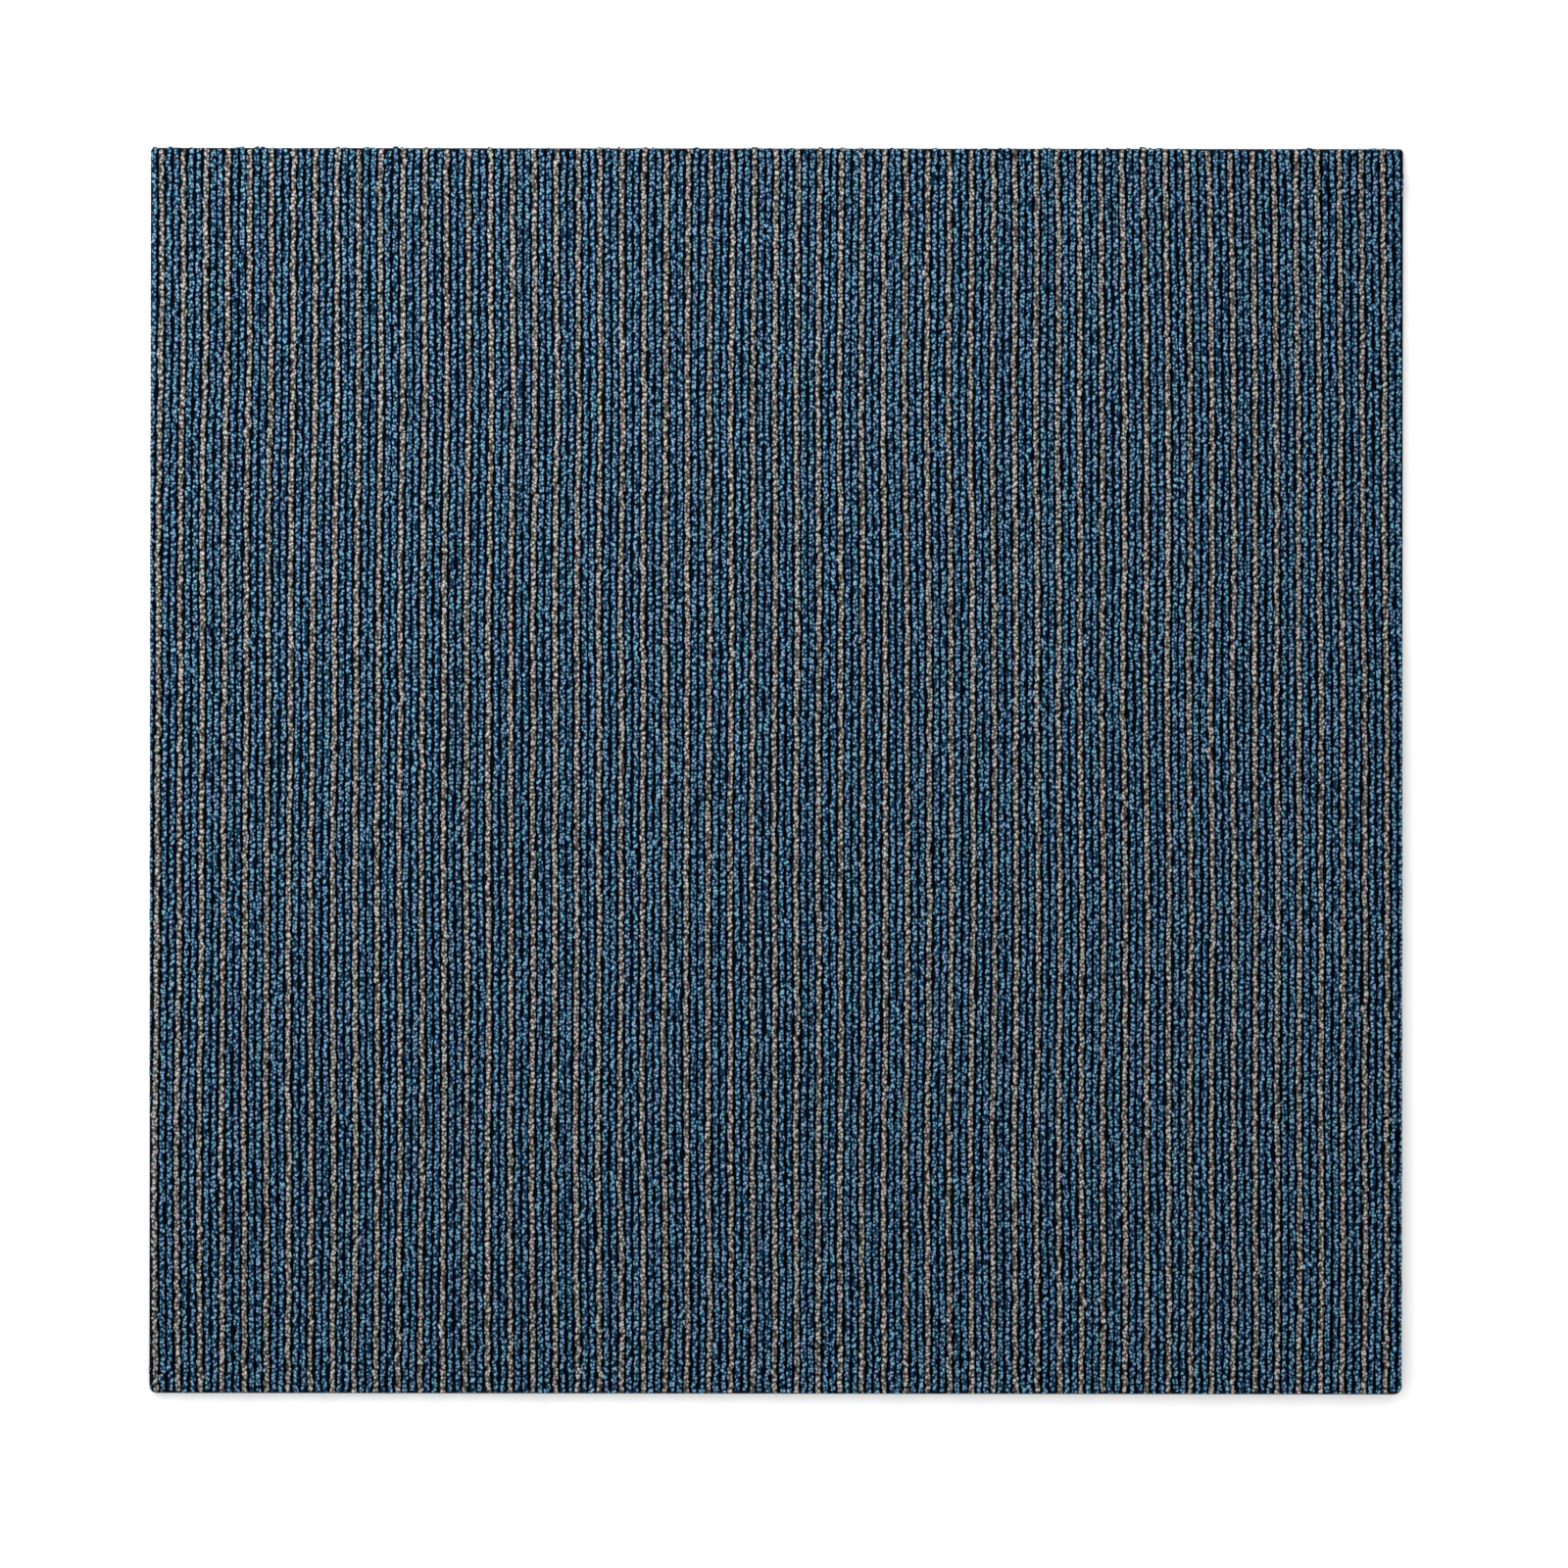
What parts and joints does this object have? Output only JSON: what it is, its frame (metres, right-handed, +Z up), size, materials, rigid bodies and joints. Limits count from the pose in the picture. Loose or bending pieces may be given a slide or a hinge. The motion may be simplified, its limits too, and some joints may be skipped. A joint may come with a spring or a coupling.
{
  "type": "carpet tile",
  "caption": "Square loop-pile carpet tile: straight rows of tufted yarn loops in narrow blue and taupe stripes on a flat heavy backing sheet.",
  "frame": {"origin": "centre of the underside, on the floor plane", "axes": "+Z up through the pile, +Y along the rows of loops, +X across the stripes"},
  "size_m": [0.5, 0.5, 0.0062],
  "materials": {
    "backing_black": "matt black bitumen or PVC compound sheet with a fine fleece skin",
    "blue_yarn": "bulked multifilament loop pile, slate blue with lighter and teal flecks",
    "taupe_yarn": "bulked multifilament loop pile, warm grey taupe, every third row"
  },
  "bodies": {
    "root": {"backing": "backing_black", "loop_pile": "blue_yarn"}
  },
  "joints": []
}
